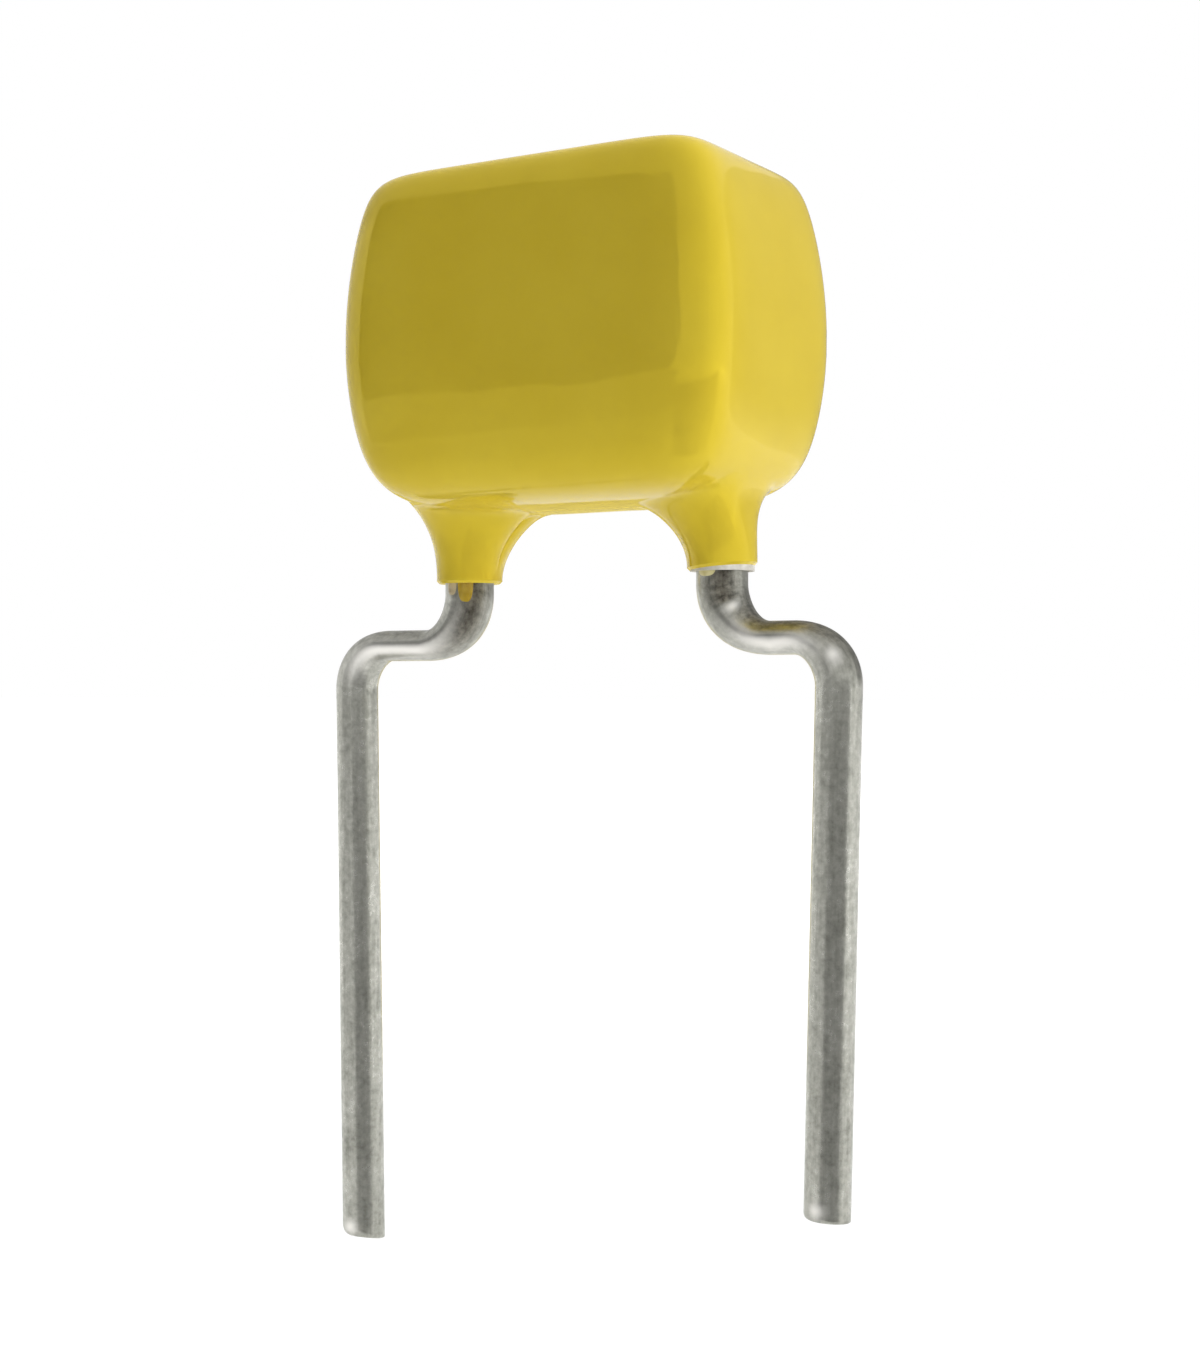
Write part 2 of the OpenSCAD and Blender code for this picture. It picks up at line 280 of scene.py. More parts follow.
# %% [markdown]
# ## The coat
# The coat is a rounded block with bulging walls that runs down each wire as a flared leg. It could be
# a subdivided cage, but then its edges would have to be guessed. Here it is one tube of rings, as in
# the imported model: each half of the block is laid out on a disc, with the middle of its end wall at
# the centre and the block's middle plane on the rim. Rings on that disc start round the leg and
# grow until they fill it, and cubic curves carry the first ring down to the end of the leg.

# %% Skin of the block
# Bulges of the end walls, of the front and back above and below the middle, and of the underside.
END_BULGE, UPPER_BULGE, LOWER_BULGE, UNDER_BULGE = 0.27, 0.1, 0.17, 0.13
# Powers of the rounded-box rule: the higher, the squarer. The spread draws rings towards the edges.
PLAN_SQUARE, TOP_SQUARE, BOTTOM_SQUARE = 8.5, 12.0, 8.0
EDGE_SPREAD = 0.55


def spread(direction, power):
    """Each part of a direction raised to a power, with its sign kept."""
    return np.sign(direction) * np.abs(direction) ** power


def block_skin(direction):
    """Point of the block's skin in a direction from its middle.

    The direction is divided by its length under the rounded-box rule, where the parts are raised to a
    high power and summed, and the root is taken. The walls then shrink by their bulge times the
    height squared, and the underside by its bulge times the depth squared.
    """
    x, y, z = np.moveaxis(direction, -1, 0)
    square = np.where(z > 0, TOP_SQUARE, BOTTOM_SQUARE)
    plan = np.abs(x) ** PLAN_SQUARE + np.abs(y) ** PLAN_SQUARE
    length = (plan ** (square / PLAN_SQUARE) + np.abs(z) ** square) ** (1 / square)
    x, y, z = x / length, y / length, z / length
    face_bulge = np.where(z > 0, UPPER_BULGE, LOWER_BULGE)
    tall = half_h - np.where(z > 0, 0, UNDER_BULGE) * y * y
    return np.stack([x * (half_w - END_BULGE * z * z), y * (half_d - face_bulge * z * z), z * tall], -1)


def disc_spot(direction):
    """Spot on the disc for a direction.

    Its distance from the disc's centre is the direction's angle from the end wall's middle, over a
    right angle.
    """
    x, y, z = spread(np.array(direction), 1 / EDGE_SPREAD)
    off = np.hypot(y, z)
    return np.array([y, z]) * np.arctan2(off, x) / (np.pi / 2 * off)


def disc_direction(spot):
    """Direction for spots on the disc, which undoes disc_spot."""
    off = np.linalg.norm(spot, axis=-1, keepdims=True)
    turn = np.pi / 2 * off
    return spread(np.concatenate([np.cos(turn), np.sin(turn) * spot / off], -1), EDGE_SPREAD)


print("end wall's middle lies at", block_skin(np.array([1.0, 0.0, 0.0])).round(3))

# %% Rings round the block
# Reach of a leg's flare from the wire: along the underside, to the front and back, and up the end wall.
FLARE_IN, FLARE_SIDE, FLARE_UP = 0.8, 0.6, 0.23
RING_POINTS, BLOCK_RINGS = 192, 120
around = 2 * np.pi * np.arange(RING_POINTS) / RING_POINTS


def underside(x, y):
    """Direction of a point of the block's underside."""
    return [x / (half_w - END_BULGE), y / (half_d - LOWER_BULGE), -1.0]


def block_rings(leg_x, grown):
    """Rings on the block's skin round a leg, from the flare's edge at grown = 0 to the middle plane at 1.

    Each ring is an ellipse on the disc, whose middle slides to the disc's centre while it grows to fill it.
    """
    inner = disc_spot(underside(leg_x - FLARE_IN, 0))[1]
    outer = disc_spot([1.0, 0.0, FLARE_UP / half_h - 1])[1]
    side = disc_spot(underside(leg_x, FLARE_SIDE))[0]
    t = np.asarray(grown, float)[:, None]
    y = (side * (1 - t) + t) * np.cos(around)
    z = (inner + outer) / 2 * (1 - t) + ((outer - inner) / 2 * (1 - t) + t) * np.sin(around)
    return block_skin(disc_direction(np.stack([y, z], -1)))


print(BLOCK_RINGS, "rings of", RING_POINTS, "points cover each half of the block")

# %% [markdown]
# The end of each leg was trimmed, which leaves a small bevel round a flat face with the wire's hole in
# it. The right leg's yellow skin was trimmed a little aslant, and a wedge of pale broken resin stands
# out below it. The rings go on over that face and up the hole, so that the coat is a closed solid
# round the wires.

# %% Legs
LEG_WALL, LEG_BEVEL, HOLE_ROOM = 0.08, 0.025, 0.004
# Slant of the skin's end in degrees, and how much higher it ends on the right leg.
LEG_TRIM = {"left": 0.0, "right": 5.0}
RIGHT_LEG_RISE = 0.07
FLARE_ARM, SLOPE_STEP, FLARE_RINGS = 0.4, 0.02, 40
leg_r = EXIT_R + LEG_WALL
leg_z = {"left": coat_low[2], "right": coat_low[2] + RIGHT_LEG_RISE}


def leg_ring(side, radius, height, slant_deg):
    """Ring round a leg, at a height above its trimmed end, with its outer side raised by a slant."""
    x = radius * np.sin(around)
    z = leg_z[side] - block_mid[2] + height + x * np.tan(np.radians(slant_deg))
    return np.stack([abs(exit_x[side] - block_mid[0]) + x, radius * np.cos(around), z], -1)


def flare_rings(side, share):
    """Rings up a leg: each point follows a cubic curve that starts upright and ends along the skin."""
    edge, beyond = block_rings(abs(exit_x[side] - block_mid[0]), [0, SLOPE_STEP])
    foot = leg_ring(side, leg_r, LEG_BEVEL, LEG_TRIM[side])
    arm = FLARE_ARM * np.linalg.norm(edge - foot, axis=-1, keepdims=True)
    slope = (edge - beyond) / np.linalg.norm(edge - beyond, axis=-1, keepdims=True)
    s = np.asarray(share, float)[:, None, None]
    curve = (1 - s) ** 3 * foot + 3 * s * (1 - s) ** 2 * (foot + arm * [0, 0, 1])
    return curve + 3 * s * s * (1 - s) * (edge + arm * slope) + s ** 3 * edge


def half_coat(side):
    """Rings of half the coat: down the wire's hole, over the trimmed end, up the leg and to the middle."""
    hole_r, face_r = EXIT_R + HOLE_ROOM, leg_r - LEG_BEVEL
    face = -leg_r * np.tan(np.radians(LEG_TRIM[side]))
    hole_top = wire_top + HOLE_ROOM - leg_z[side]
    end = [leg_ring(side, hole_r, height, 0) for height in (hole_top, face)]
    end.append(leg_ring(side, face_r, face, 0))
    if LEG_TRIM[side]:
        end.append(leg_ring(side, face_r, 0, LEG_TRIM[side]))
    flare = flare_rings(side, np.linspace(0, 1, FLARE_RINGS + 1))
    grown = np.arange(1, BLOCK_RINGS + 1) / BLOCK_RINGS
    return np.concatenate([end, flare, block_rings(abs(exit_x[side] - block_mid[0]), grown)])


print("yellow skin ends at z", np.round(list(leg_z.values()), 3))

# %% Coat
# Edges that turn by more than this many degrees stay sharp.
COAT_EDGE = 40
left_half = half_coat("left") * [-1, 1, 1]
coat_rings = np.concatenate([left_half, half_coat("right")[-2::-1]]) + block_mid
coat = make_tube("dipped_coat", coat_rings, COAT_EDGE)
coat.data.materials.append(epoxy)
coat.data.materials.append(trimmed)
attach(coat, "root")
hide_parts("epoxy_coat")

# %% Pale wedge on the right leg
# The coat's last strips of faces are the wedge's wall, its flat end and the wall of the wire's hole.
WEDGE_STRIPS, HOLE_STRIPS = 2, 1
wedge_end = (len(coat_rings) - 1 - HOLE_STRIPS) * RING_POINTS
pale = np.zeros(len(coat.data.polygons), np.int32)
pale[wedge_end - WEDGE_STRIPS * RING_POINTS:wedge_end] = 1
coat.data.polygons.foreach_set("material_index", pale)
print("pale wedge has", int(pale.sum()), "faces")

# %% [markdown]
# ## Tinned wire
# The leads are drawn copper wire with a dull coat of hot-dipped tin. The tin froze in grains a few
# hundredths of a millimetre wide, some duller than others, and faint lines from the drawing die run
# along the wire. On Object coordinates the lines would cut across the bends, so the pattern reads an
# attribute that holds each point's place on the straight wire: two distances across it and one along
# it. A second attribute holds painted light: a painted highlight streak and glints, and painted shade
# below the leg and on the top of each jog. Lines on a real wire are finer, and these are as coarse as they
# must be to show.

# %% Tinned wire
LINE_SQUEEZE = 0.08


def tinned_wire():
    """Dull tin on drawn wire: grey grains, lines along it, painted highlights and painted shade.

    A Mix node's input 0 is the share, 2 and 3 are the numbers that it mixes, and 6 and 7 the colours.
    """
    numbers, colours = {"data_type": "FLOAT"}, {"data_type": "RGBA"}
    material, tree = new_material("tinned_copper_wire")
    on_wire = add(tree, "ShaderNodeAttribute", {"attribute_name": "on_wire"}).outputs["Vector"]
    grains = add(tree, "ShaderNodeTexNoise", Vector=on_wire, Scale=of_mm(0.06), Detail=4.0, Roughness=0.65)
    along = add(tree, "ShaderNodeMapping", Vector=on_wire, Scale=(1, 1, LINE_SQUEEZE))
    lines = add(tree, "ShaderNodeTexNoise", Vector=along.outputs["Vector"], Scale=of_mm(0.04), Detail=3.0)
    patches = add(tree, "ShaderNodeTexNoise", Vector=on_wire, Scale=of_mm(0.3), Detail=3.0)
    mottle = add(tree, "ShaderNodeMix", numbers, in_0=0.35, in_2=grains.outputs["Fac"],
                 in_3=lines.outputs["Fac"])
    mixed = add(tree, "ShaderNodeMix", numbers, in_0=0.25, in_2=mottle.outputs[0],
                in_3=patches.outputs["Fac"])
    dull_tin = add(tree, "ShaderNodeValToRGB", Fac=mixed.outputs[0],
                   stops=[(0.3, "#82837A"), (0.5, "#AEAEA5"), (0.7, "#D0D0C8")])
    painted_light = add(tree, "ShaderNodeAttribute", {"attribute_name": "painted_light"}).outputs["Vector"]
    painted_highlight, painted_shade, _ = add(tree, "ShaderNodeSeparateXYZ", Vector=painted_light).outputs
    # Painted highlight: near-white tin along the streak on each jog and at the painted glints.
    with_painted_highlight = add(tree, "ShaderNodeMix", colours, in_0=painted_highlight, in_6=dull_tin.outputs["Color"],
                    in_7=linear("#FDFBF5"))
    # Painted shade: dark spotted tin for the dark reflections below the leg and on the top of each jog.
    spots = add(tree, "ShaderNodeValToRGB", stops=[(0.4, "#443F37"), (0.62, "#8C877A")],
                Fac=mottle.outputs[0])
    colour = add(tree, "ShaderNodeMix", colours, in_0=painted_shade, in_6=with_painted_highlight.outputs[2],
                 in_7=spots.outputs["Color"])
    dull = add(tree, "ShaderNodeMapRange", Value=mixed.outputs[0], From_Min=0.3, From_Max=0.7,
               To_Min=0.34, To_Max=0.24)
    brushed = add(tree, "ShaderNodeMix", numbers, in_0=painted_highlight, in_2=dull.outputs["Result"], in_3=0.5)
    duller = add(tree, "ShaderNodeMix", numbers, in_0=painted_shade, in_2=brushed.outputs[0], in_3=0.6)
    relief = add(tree, "ShaderNodeBump", Height=mottle.outputs[0], Strength=0.25, Distance=0.01 * MM)
    shader = add(tree, "ShaderNodeBsdfPrincipled", Base_Color=colour.outputs[2], Metallic=1.0,
                 Roughness=duller.outputs[0], Normal=relief.outputs["Normal"])
    add(tree, "ShaderNodeOutputMaterial", Surface=shader.outputs["BSDF"])
    return material


tin = tinned_wire()
print("made", tin.name)

# %% [markdown]
# ## The leads
# Each lead leaves its leg straight down, was bent outwards by a forming tool that pressed the wire flat
# there, and was bent down again over a knee. The path is described by one thing only: how far the wire
# has turned from straight down, as a function of the distance along it. Adding up small steps in that
# direction gives the middle line. A bevelled curve could follow it, but its section would stay the same.
# Here the section is an ellipse that flattens where the wire is turned, and above the jog the wire is
# thicker, because solder ran down it.

# %% Path of a lead
# Bends' radii, the straight wire between leg and bend, and how far the cut drags one corner down.
JOG_BEND, KNEE_BEND = 0.47, 0.41
LEG_GAP = {"left": 0.095, "right": 0.135}
CUT_DRAG = {"left": 0.05, "right": 0.025}
PATH_STEP = 0.004


def lead_path(side):
    """Distance, turn, middle line (outward x, z) and free radius of a lead, as arrays along the wire.

    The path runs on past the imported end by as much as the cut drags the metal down.
    """
    mount = pins[side + "_pin"]
    at_pin = np.array(mount["pos_m"]) / MM
    lean = np.arcsin(abs(mount["axis"][0]))
    out = abs(exit_x[side])
    bend_z = leg_z[side] - LEG_GAP[side]
    knee_z = bend_z - JOG_BEND - KNEE_BEND
    knee_x = abs(at_pin[0]) + (knee_z - at_pin[2]) * np.tan(lean) - KNEE_BEND / np.cos(lean)
    pin_z = knee_z - KNEE_BEND * np.sin(lean) - node_box(side + "_lead")[0][2]
    lengths = [wire_top - bend_z, JOG_BEND * np.pi / 2, knee_x - out - JOG_BEND,
               KNEE_BEND * (np.pi / 2 + lean), pin_z / np.cos(lean) + CUT_DRAG[side]]
    knots = np.concatenate([[0], np.cumsum(lengths)])
    distance = np.linspace(0, knots[-1], int(knots[-1] / PATH_STEP))
    turn = np.interp(distance, knots, [0, 0, np.pi / 2, np.pi / 2, -lean, -lean])
    mid_turn = (turn[1:] + turn[:-1]) / 2
    x = out + np.concatenate([[0], np.cumsum(np.sin(mid_turn) * distance[1])])
    z = wire_top - np.concatenate([[0], np.cumsum(np.cos(mid_turn) * distance[1])])
    radius = np.where(distance < (knots[2] + knots[3]) / 2, EXIT_R, PIN_R)
    print(side, "wire is", round(knots[-1], 2), "mm long")
    return distance, turn, x, z, radius


paths = {side: lead_path(side) for side in ("left", "right")}

# %% Points on a lead
# Thickness and width of the pressed wire, and the power by which the pressing fades.
JOG_T, JOG_W, PRESS_FADE = 0.29, 0.46, 3


def pressing(side, s):
    """How far the wire is pressed flat at distance s: the sine of its turn, raised to a power."""
    return np.abs(np.sin(np.interp(s, *paths[side][:2]))) ** PRESS_FADE


def on_lead(side, s, a, lift):
    """Points on a lead at distance s and angle a: the middle line plus an ellipse across it, and a lift."""
    distance, *along = paths[side]
    turn, x, z, radius = (np.interp(s, distance, values) for values in along)
    pressed = pressing(side, s)
    thick = (radius + (JOG_T / 2 - radius) * pressed + lift) * np.cos(a)
    wide = (radius + (JOG_W / 2 - radius) * pressed + lift) * np.sin(a)
    outward = 1 if side == "right" else -1
    return np.stack([(x + thick * np.cos(turn)) * outward, wide, z + thick * np.sin(turn)], -1)


def seen_at(side, across_deg):
    """Angle round a wire of a spot that the camera sees this many degrees right of the wire's middle."""
    a = np.radians(across_deg) + CAMERA_AZIMUTH - np.pi / 2
    return a if side == "right" else np.pi - a


print("wire is pressed from", 2 * EXIT_R, "to", JOG_T, "by", JOG_W, "mm")

# %% [markdown]
# Painted light on the leads: a painted highlight streak along each jog, a few painted glints,
# and painted shade on the top of each jog and below each leg. Angles round the wire are in degrees,
# distances along it in millimetres.

# %% Painted light on the leads
# Painted shade of a dark reflection below the leg: its strength, its place across the wire,
# and where it starts and stops fading.
EXIT_SHADE_SHARE, EXIT_SHADE_SHARP = 0.9, 5.0
EXIT_SHADE_ACROSS = {"left": 12, "right": -4}
EXIT_SHADE_FADE = {"left": (0.35, 0.8), "right": (0.33, 0.4)}
# Painted shade on the top of the jog, which is where the wire has turned by more than half a right angle.
JOG_SHADE_SHARE, JOG_SHADE_AT, JOG_SHADE_SHARP = {"left": 0.4, "right": 0.75}, -22, 2.5
HALF_BENT = np.pi / 4
# Painted highlight streak: how it fades along the wire, and its angle at the jog's start, middle and end.
HIGHLIGHT_SHARP, HIGHLIGHT_FADE = 8.0, {"left": 1, "right": 4}
HIGHLIGHT_AT = {"left": (-114, -106, -106), "right": (-70, -112, -80)}
# Painted glints: the mark that each is measured from, the distance beyond it and the place across the wire.
GLINT_LONG, GLINT_SHARP = 0.06, 16.0
GLINTS = {"left": [("end", -0.1, -34)], "right": [("leg", 0.43, 6), ("knee", 0.1, 0), ("end", -0.1, -34)]}


def round_wire(a, middle, sharp):
    """Bump round a wire: 1 at the middle angle and falling off to both sides, the faster the sharper."""
    return np.exp(sharp * (np.cos(a - middle) - 1))


def painted_light_on_lead(side, s, a):
    """Painted highlight and painted shade on a lead, from bumps round the wire that fade along it."""
    distance, turn = paths[side][:2]
    bent = distance[turn > HALF_BENT]
    bend = np.sin(np.interp(s, distance, np.abs(turn)))
    middle = np.interp(s, [bent[0], bent.mean(), bent[-1]], np.radians(HIGHLIGHT_AT[side]))
    painted_highlight = bend ** HIGHLIGHT_FADE[side] * round_wire(a, middle, HIGHLIGHT_SHARP)
    marks = {"leg": wire_top - leg_z[side], "knee": bent[-1], "end": distance[-1] - CUT_DRAG[side]}
    for mark, beyond, across_deg in GLINTS[side]:
        along = np.exp(-(((s - marks[mark] - beyond) / GLINT_LONG) ** 2))
        painted_highlight = np.maximum(painted_highlight, along * round_wire(a, seen_at(side, across_deg), GLINT_SHARP))
    painted_shade = np.interp(s - marks["leg"], EXIT_SHADE_FADE[side], [EXIT_SHADE_SHARE, 0])
    painted_shade = painted_shade * round_wire(a, seen_at(side, EXIT_SHADE_ACROSS[side]), EXIT_SHADE_SHARP)
    jog_shade = JOG_SHADE_SHARE[side] * bend * round_wire(a, np.radians(JOG_SHADE_AT), JOG_SHADE_SHARP)
    return np.stack([painted_highlight, np.maximum(painted_shade, jog_shade * (1 - painted_highlight)), 0 * s], -1)


# Counts the painted glints on each lead.
print("rubbed spots:", {side: len(spots) for side, spots in GLINTS.items()})

# %% [markdown]
# The wires were cut with shears. The blade dragged the metal: one side of the end is rounded over, and
# the other is a sharp corner that hangs a little lower. So the rounding's height and depth and the
# cut's own height all change round the wire.

# %% Leads
LEAD_POINTS, RING_STEP, END_RINGS, WIRE_EDGE = 64, 0.02, 10, 50
# The rounding's size at the sharp corner, its height and depth on the other side, and the corner's place.
SHEAR_SHARP = 0.012
SHEAR_HIGH = {"left": 0.1, "right": 0.055}
SHEAR_IN = {"left": 0.06, "right": 0.03}
SHEAR_SIDE = 110


def make_lead(side):
    """Lead as a tube of rings along its path, with a sheared end.

    The last rings follow a quarter of an ellipse, whose height and depth grow with the angle from the
    sharp corner, and the cut hangs lower by the drag times the nearness to that corner squared.
    """
    full = paths[side][0][-1] - CUT_DRAG[side]
    a = 2 * np.pi * np.arange(LEAD_POINTS) / LEAD_POINTS
    facing = np.cos(a - seen_at(side, SHEAR_SIDE))
    away = (1 - facing) / 2
    high = SHEAR_SHARP + (SHEAR_HIGH[side] - SHEAR_SHARP) * away
    inward = SHEAR_SHARP + (SHEAR_IN[side] - SHEAR_SHARP) * away
    cut = full + CUT_DRAG[side] * (1 - away) ** 2
    start = full - SHEAR_HIGH[side] - RING_STEP
    s = np.linspace(0, start, int(full / RING_STEP))[:, None] + 0 * a
    over = np.linspace(0, np.pi / 2, END_RINGS)[:, None]
    s = np.concatenate([s, cut - high * (1 - np.sin(over))])
    lift = np.concatenate([0 * s[:-END_RINGS], -inward * (1 - np.cos(over))])
    rings = on_lead(side, s, a, lift)
    on_wire = np.stack([PIN_R * np.cos(a) + 0 * s, PIN_R * np.sin(a) + 0 * s, s], -1) * MM
    painted_light = painted_light_on_lead(side, s, a)
    along = -1 if side == "right" else 1
    lead = make_tube(side + "_wire", rings[::along], WIRE_EDGE)
    for name, values in {"on_wire": on_wire[::along], "painted_light": painted_light[::along]}.items():
        with_ends = np.concatenate([values.reshape(-1, 3), values[[0, -1]].mean(1)])
        attribute = lead.data.attributes.new(name, "FLOAT_VECTOR", "POINT")
        attribute.data.foreach_set("vector", with_ends.astype(np.float32).ravel())
    lead.data.materials.append(tin)
    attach(lead, "root")
    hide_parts(side + "_lead")


make_lead("left")
make_lead("right")

# %% [markdown]
# ## Resin on the wires
# Where the legs were trimmed, a little resin is left on the wires: a brown tongue with a pale smear beside
# it on the left one, and a pale dab on the right one. Spread so thin over metal it is darker and duller
# than the coat, or paler where it is rubbed. The wire's finish could paint it, but its edge catches the
# light, so each is a film that is thickest in its middle and ends in a blunt tip.

# %% Thin epoxy
def thin_epoxy(name, dark, light, roughness):
    """Smear of epoxy over metal, uneven in thickness and so in colour."""
    material, tree = new_material(name)
    place = add(tree, "ShaderNodeTexCoord").outputs["Object"]
    smear = add(tree, "ShaderNodeTexNoise", Vector=place, Scale=of_mm(0.08), Detail=3.0)
    colour = add(tree, "ShaderNodeValToRGB", stops=[(0.35, dark), (0.65, light)], Fac=smear.outputs["Fac"])
    shader = add(tree, "ShaderNodeBsdfPrincipled", Base_Color=colour.outputs["Color"], IOR=1.55,
                 Roughness=roughness)
    add(tree, "ShaderNodeOutputMaterial", Surface=shader.outputs["BSDF"])
    return material


# %% Resin films
FILM_ROWS, FILM_POINTS, FILM_EDGE = 32, 64, 60
# Thickness over the metal, depth in it, length under the leg, share of the length at which the tip ends.
FILM_T, FILM_ROOT, FILM_LAP, FILM_TIP = 0.012, 0.01, 0.03, 0.995
FILM_SQUARE = 3


def resin_film(name, side, across_deg, width_deg, length, material):
    """Tongue of resin down a wire from its leg.

    Its half width and its thickness shrink from the leg to the tip as a rounded square's outline does.
    Each ring runs across the outer face and back through the metal.
    """
    share = FILM_TIP * np.linspace(0, 1, FILM_ROWS)[:, None]
    taper = (1 - share ** FILM_SQUARE) ** (1 / FILM_SQUARE)
    t = 2 * np.pi * np.arange(FILM_POINTS) / FILM_POINTS
    a = seen_at(side, across_deg) + np.radians(width_deg) / 2 * taper * np.cos(t)
    lift = taper * (FILM_T * np.maximum(np.sin(t), 0) + FILM_ROOT * np.minimum(np.sin(t), 0))
    s = wire_top - leg_z[side] - FILM_LAP + (length + FILM_LAP) * share + 0 * t
    rings = on_lead(side, s, a, lift)
    film = make_tube(name, rings[::-1] if side == "left" else rings, FILM_EDGE)
    film.data.materials.append(material)
    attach(film, "root")


brown_resin = thin_epoxy("brown_resin_smear", "#A98B0C", "#BC9F1C", roughness=0.18)
rubbed_resin = thin_epoxy("rubbed_resin_smear", "#A8966C", "#C9B994", roughness=0.35)
pale_resin = thin_epoxy("pale_resin_smear", "#D0C482", "#E2D9A2", roughness=0.4)
resin_film("left_resin_tongue", "left", across_deg=-7, width_deg=38, length=0.16, material=brown_resin)
resin_film("left_resin_smear", "left", across_deg=-44, width_deg=30, length=0.11, material=rubbed_resin)
resin_film("right_resin_dab", "right", across_deg=-42, width_deg=50, length=0.075, material=pale_resin)

# %% [markdown]
# ## Inner pieces
# The chip inside the coat is hidden, but it belongs to the part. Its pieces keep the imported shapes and
# get plain finishes: brown fired ceramic, grey sintered plates, plated end caps and dull solder.

# %% Inner finishes
GRAIN_RELIEF = 1 / 5


def grained(name, dark, light, grain_mm, metallic, roughness):
    """A finish with two tones of grain, for fired or sintered pieces and for plated or soldered ones."""
    material, tree = new_material(name)
    place = add(tree, "ShaderNodeTexCoord").outputs["Object"]
    grain = add(tree, "ShaderNodeTexNoise", Vector=place, Scale=of_mm(grain_mm), Detail=4.0)
    colour = add(tree, "ShaderNodeValToRGB", stops=[(0.35, dark), (0.65, light)], Fac=grain.outputs["Fac"])
    relief = add(tree, "ShaderNodeBump", Height=grain.outputs["Fac"], Strength=0.3,
                 Distance=grain_mm * GRAIN_RELIEF * MM)
    shader = add(tree, "ShaderNodeBsdfPrincipled", Base_Color=colour.outputs["Color"], Metallic=metallic,
                 Roughness=roughness, Normal=relief.outputs["Normal"])
    add(tree, "ShaderNodeOutputMaterial", Surface=shader.outputs["BSDF"])
    return material


# Fired ceramic is dull and stony, sintered plates dark and grainy, plating satin, solder smooth and grey.
inner_finishes = {
    "ceramic": grained("fired_ceramic", "#9A7E5C", "#B09672",
                       grain_mm=0.04, metallic=0.0, roughness=0.7),
    "electrodes": grained("sintered_electrode_metal", "#808284", "#9A9C9D",
                          grain_mm=0.02, metallic=1.0, roughness=0.5),
    "termination": grained("plated_end_cap", "#A9ABAA", "#C2C4C3",
                           grain_mm=0.03, metallic=1.0, roughness=0.38),
    "solder": grained("soft_solder", "#8F9294", "#A9ACAE",
                      grain_mm=0.06, metallic=1.0, roughness=0.3),
}
for node, packed in frame["nodes"].items():
    for word, finish in inner_finishes.items():
        if word in node:
            packed.data.materials.clear()
            packed.data.materials.append(finish)
            print(node, "is", finish.name)

# %% [markdown]
# ## Floor
# The photo's background is pure white. The floor is a pale matt sheet a little below the pins, because
# the part can't stand on them and the photo shows no ground. For rays that come from the camera, or
# from a reflection, it glows a little on top of the light that falls on it, and the more the further
# away, so that it is white up to the horizon and still keeps the part's shadow.

# %% Rays that see a thing directly
def seen_directly(tree):
    """1 for rays from the camera, a reflection or a clear body, and 0 for the light that falls on things."""
    rays = add(tree, "ShaderNodeLightPath").outputs
    highest = {"operation": "MAXIMUM"}
    shown = add(tree, "ShaderNodeMath", highest, in_0=rays["Is Camera Ray"], in_1=rays["Is Glossy Ray"])
    shown = add(tree, "ShaderNodeMath", highest, in_0=shown.outputs[0], in_1=rays["Is Transmission Ray"])
    return shown.outputs[0]


# %% Floor
FLOOR_HALF, FLOOR_DROP = 1500.0, 3.0
GLOW_NEAR, GLOW_FAR, NEAR_MM, FAR_MM = 0.13, 1.0, 20.0, 150.0
floor_z = cad_low[2] / MM - FLOOR_DROP


def pale_sheet():
    """Matt white sheet that glows, more with distance, for rays that see it directly."""
    material, tree = new_material("pale_matt_sheet")
    matt = add(tree, "ShaderNodeBsdfDiffuse", Color=linear("#E8E8E8"))
    place = add(tree, "ShaderNodeTexCoord").outputs["Object"]
    away = add(tree, "ShaderNodeVectorMath", {"operation": "LENGTH"}, in_0=place)
    glow = add(tree, "ShaderNodeMapRange", Value=away.outputs["Value"], From_Min=NEAR_MM * MM,
               From_Max=FAR_MM * MM, To_Min=GLOW_NEAR, To_Max=GLOW_FAR)
    strength = add(tree, "ShaderNodeMath", {"operation": "MULTIPLY"}, in_0=seen_directly(tree),
                   in_1=glow.outputs["Result"])
    light = add(tree, "ShaderNodeEmission", Color=linear("#FFFFFF"), Strength=strength.outputs[0])
    both = add(tree, "ShaderNodeAddShader", in_0=matt.outputs["BSDF"], in_1=light.outputs["Emission"])
    add(tree, "ShaderNodeOutputMaterial", Surface=both.outputs["Shader"])
    return material


def flat_card(name, corners, material):
    """One flat stage card through its corners, in millimetres."""
    mesh = bpy.data.meshes.new(name)
    mesh.from_pydata((np.array(corners) * MM).tolist(), [], [list(range(len(corners)))])
    mesh.materials.append(material)
    card = bpy.data.objects.new(name, mesh)
    bpy.context.scene.collection.objects.link(card)
    return card


quarter_turns = np.radians(45 + 90 * np.arange(4))
corners = FLOOR_HALF * np.stack([np.cos(quarter_turns), np.sin(quarter_turns)], -1)
flat_card("floor", np.column_stack([corners, np.full(4, floor_z)]), pale_sheet())
print("floor at z", round(floor_z, 3), "mm")

# %% [markdown]
# ## Light
# The photo was taken in soft light: the right side is the brightest, the front is a third darker, and
# the underside is lit by the white floor. A large soft box stands on the right, and one hangs above,
# behind the part, and lights the floor. The surround only fills in. Each lamp's power is worked out
# from the share of full white that it gives a surface that faces it. The lamps stay out of the
# reflections, which the cards below make instead.

# %% Surround
SURROUND_FILL = 0.16

